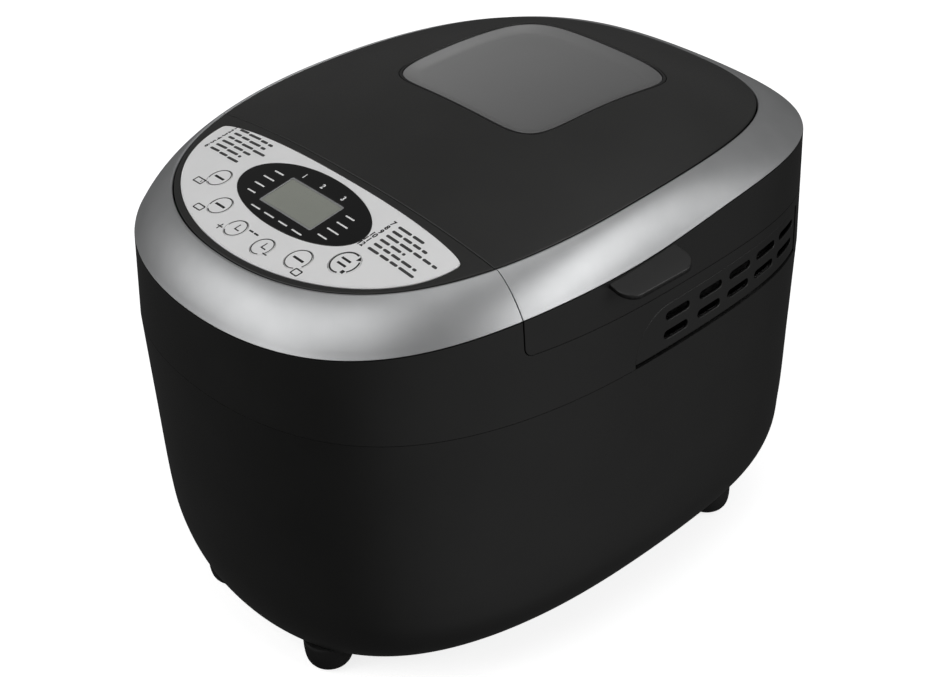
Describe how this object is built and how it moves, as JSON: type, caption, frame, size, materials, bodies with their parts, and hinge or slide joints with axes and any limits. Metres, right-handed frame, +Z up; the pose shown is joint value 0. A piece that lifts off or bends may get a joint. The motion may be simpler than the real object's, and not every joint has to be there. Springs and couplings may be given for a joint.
{
  "type": "bread machine",
  "caption": "Table-top bread machine: rounded tapering housing, silver trim ring, sloping control panel, hinged lid with window, lift-out pan with bail, belt-driven kneading paddle.",
  "frame": {"origin": "on the table plane, under the middle of the housing", "axes": "+Z up, -Y towards the control panel end, +X towards the side with the lid's finger tab"},
  "size_m": [0.3341, 0.3945, 0.2974],
  "materials": {
    "aluminium_cast": "cast aluminium",
    "black_plastic": "satin moulded black plastic",
    "brass_bush": "machined brass",
    "cap_case": "pale capacitor case",
    "circuit_board": "green laminate with fitted parts",
    "clear_glass": "clear heat-resistant glass",
    "gloss_black": "gloss black printed film",
    "heater_sheath": "darkened sheath tube",
    "lcd": "grey-green liquid crystal glass",
    "lid_plastic": "satin moulded dark grey plastic",
    "motor_iron": "stacked laminations with pressed end caps",
    "non_stick": "dark non-stick coating on cast aluminium",
    "overlay_film": "pale grey satin printed film",
    "rubber_black": "black rubber",
    "silicone": "red-brown silicone",
    "silver_trim": "satin silver lacquer",
    "smoked_glass": "smoked frosted glass",
    "steel_bright": "bright steel",
    "steel_sheet": "zinc-plated pressed sheet"
  },
  "bodies": {
    "housing": {"base_plate": "black_plastic", "feet": "rubber_black", "base_screws": "steel_bright", "lower_housing": "black_plastic", "upper_band": "black_plastic", "vent_grille_right": "black_plastic", "vent_grille_left": "black_plastic", "front_trim_ring": "silver_trim", "control_fascia": "lid_plastic", "panel_overlay": "overlay_film", "display_bezel": "gloss_black", "display_lens": "lcd", "display_module": "lcd", "control_board": "circuit_board", "buzzer": "gloss_black", "power_board": "circuit_board", "cable_inlet": "rubber_black", "chamber_deck": "black_plastic", "oven_chamber": "steel_sheet", "heat_shield": "steel_sheet", "heating_element": "heater_sheath", "temperature_sensor": "steel_bright", "chamber_clips": "steel_sheet", "bearing_block": "aluminium_cast", "motor_stator": "motor_iron", "motor_bracket": "steel_sheet", "motor_capacitor": "cap_case", "drive_belt": "rubber_black", "hinge_brackets": "black_plastic", "hinge_pins": "steel_bright"},
    "lid": {"lid_shell": "lid_plastic", "lid_trim_ring": "silver_trim", "lid_skirt": "black_plastic", "handle_tab": "black_plastic", "window_frame": "gloss_black", "window_outer": "smoked_glass", "window_well": "black_plastic", "window_inner": "clear_glass", "lid_liner": "steel_sheet", "lid_seal": "silicone", "lid_screws": "steel_bright", "lid_hinge_arms": "black_plastic"},
    "pan": {"bread_pan": "non_stick", "pan_foot": "aluminium_cast", "bail_ears": "steel_bright", "shaft_bushing": "brass_bush", "shaft_seal": "silicone"},
    "bail": {"bail_handle": "steel_bright"},
    "paddle": {"pan_shaft": "steel_bright", "kneading_paddle": "non_stick"},
    "drive": {"large_pulley": "aluminium_cast", "drive_coupling": "steel_bright"},
    "rotor": {"motor_rotor": "steel_bright", "small_pulley": "black_plastic"},
    "button_menu_key": {"button_menu": "overlay_film"},
    "button_size_key": {"button_size": "overlay_film"},
    "button_time_up_key": {"button_time_up": "overlay_film"},
    "button_time_down_key": {"button_time_down": "overlay_film"},
    "button_colour_key": {"button_colour": "overlay_film"},
    "button_start_key": {"button_start": "overlay_film"}
  },
  "joints": [
    {"name": "lid_hinge", "type": "hinge", "parent": "housing", "child": "lid", "pos_m": [-0.16, 0, 0.226], "axis": [0, -1, 0], "range_deg": [0, 95]},
    {"name": "pan_lift", "type": "slide", "parent": "housing", "child": "pan", "axis": [0, 0, 1], "range_m": [0, 0.006]},
    {"name": "bail_swing", "type": "hinge", "parent": "pan", "child": "bail", "pos_m": [0, 0.054, 0.194], "axis": [1, 0, 0], "range_deg": [0, 14]},
    {"name": "motor_spin", "type": "hinge", "parent": "housing", "child": "rotor", "pos_m": [0, -0.122, 0.09], "axis": [0, 0, 1], "continuous": true},
    {"name": "drive_spin", "type": "hinge", "parent": "housing", "child": "drive", "pos_m": [0, 0.054, 0.05], "axis": [0, 0, 1], "continuous": true},
    {"name": "paddle_spin", "type": "hinge", "parent": "pan", "child": "paddle", "pos_m": [0, 0.054, 0.085], "axis": [0, 0, 1], "continuous": true},
    {"name": "button_menu_press", "type": "slide", "parent": "housing", "child": "button_menu_key", "axis": [0.0334, 0.1966, -0.9799], "range_m": [0, 0.0008], "stiffness_N_per_m": 200},
    {"name": "button_size_press", "type": "slide", "parent": "housing", "child": "button_size_key", "axis": [0.0146, 0.1898, -0.9817], "range_m": [0, 0.0008], "stiffness_N_per_m": 200},
    {"name": "button_time_up_press", "type": "slide", "parent": "housing", "child": "button_time_up_key", "axis": [0.0034, 0.1848, -0.9828], "range_m": [0, 0.0008], "stiffness_N_per_m": 200},
    {"name": "button_time_down_press", "type": "slide", "parent": "housing", "child": "button_time_down_key", "axis": [-0.0043, 0.1838, -0.983], "range_m": [0, 0.0008], "stiffness_N_per_m": 200},
    {"name": "button_colour_press", "type": "slide", "parent": "housing", "child": "button_colour_key", "axis": [-0.0152, 0.1872, -0.9822], "range_m": [0, 0.0008], "stiffness_N_per_m": 200},
    {"name": "button_start_press", "type": "slide", "parent": "housing", "child": "button_start_key", "axis": [-0.0324, 0.1936, -0.9805], "range_m": [0, 0.0008], "stiffness_N_per_m": 200}
  ],
  "couplings": [
    {"joint": "drive_spin", "follows": "motor_spin", "ratio": 0.2},
    {"joint": "paddle_spin", "follows": "motor_spin", "ratio": 0.2}
  ]
}
